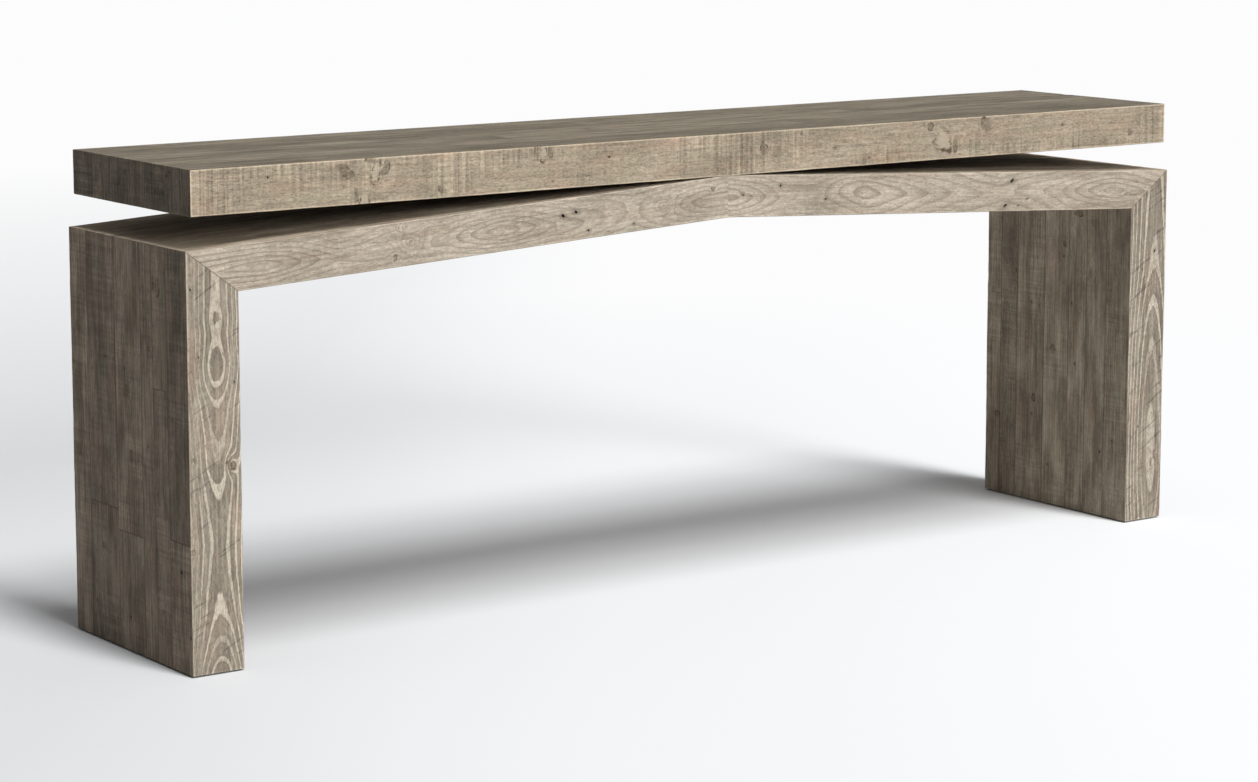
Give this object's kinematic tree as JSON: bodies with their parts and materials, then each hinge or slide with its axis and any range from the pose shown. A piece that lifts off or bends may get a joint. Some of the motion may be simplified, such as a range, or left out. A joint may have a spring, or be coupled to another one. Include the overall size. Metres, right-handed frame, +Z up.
{
  "type": "console table",
  "caption": "Long, narrow console table: a thick slab rests on the ridge of a shallow peaked frame with broad panel legs, board-built in weathered pine.",
  "frame": {"origin": "on the floor, under the middle of the table", "axes": "+X to the right along the length, +Y from the front to the back, +Z up"},
  "size_m": [2, 0.382, 0.762],
  "materials": {
    "weathered_boards": "weathered, grey-washed, band-sawn pine, dead matt",
    "weathered_staves": "weathered, grey-washed pine staves, dead matt",
    "inner_pine": "planed, unfinished pine",
    "birch_ply": "unfinished birch plywood",
    "zinc_steel": "zinc plated",
    "brass": "turned",
    "nylon": "moulded nylon"
  },
  "bodies": {
    "root": {"bolt_plugs": "weathered_boards", "left_corner_spline": "birch_ply", "left_leg_back_board": "weathered_boards", "left_leg_foot_block": "inner_pine", "left_leg_front_board": "weathered_boards", "left_leg_glides": "nylon", "left_leg_head_block": "inner_pine", "left_leg_inner_staves": "weathered_staves", "left_leg_outer_stave_1": "weathered_staves", "left_leg_outer_stave_2": "weathered_staves", "left_leg_outer_stave_3": "weathered_staves", "left_leg_outer_stave_4": "weathered_staves", "left_leg_outer_stave_5": "weathered_staves", "left_leg_outer_stave_6": "weathered_staves", "left_leg_ribs": "inner_pine", "left_rail_back_board": "weathered_boards", "left_rail_front_board": "weathered_boards", "left_rail_heel_block": "inner_pine", "left_rail_ribs": "inner_pine", "left_rail_top_staves": "weathered_staves", "left_rail_under_staves": "weathered_staves", "ridge_tie_block": "inner_pine", "right_corner_spline": "birch_ply", "right_leg_back_board": "weathered_boards", "right_leg_foot_block": "inner_pine", "right_leg_front_board": "weathered_boards", "right_leg_glides": "nylon", "right_leg_head_block": "inner_pine", "right_leg_inner_staves": "weathered_staves", "right_leg_outer_stave_1": "weathered_staves", "right_leg_outer_stave_2": "weathered_staves", "right_leg_outer_stave_3": "weathered_staves", "right_leg_outer_stave_4": "weathered_staves", "right_leg_outer_stave_5": "weathered_staves", "right_leg_outer_stave_6": "weathered_staves", "right_leg_ribs": "inner_pine", "right_rail_back_board": "weathered_boards", "right_rail_front_board": "weathered_boards", "right_rail_heel_block": "inner_pine", "right_rail_ribs": "inner_pine", "right_rail_top_staves": "weathered_staves", "right_rail_under_staves": "weathered_staves", "slab_back_board": "weathered_boards", "slab_bolts": "zinc_steel", "slab_centre_block": "inner_pine", "slab_front_board": "weathered_boards", "slab_inserts": "brass", "slab_left_end_staves": "weathered_staves", "slab_ribs": "inner_pine", "slab_right_end_staves": "weathered_staves", "slab_top_stave_1": "weathered_staves", "slab_top_stave_2": "weathered_staves", "slab_top_stave_3": "weathered_staves", "slab_top_stave_4": "weathered_staves", "slab_top_stave_5": "weathered_staves", "slab_top_stave_6": "weathered_staves", "slab_under_staves": "weathered_staves", "slab_washers": "zinc_steel"}
  },
  "joints": []
}
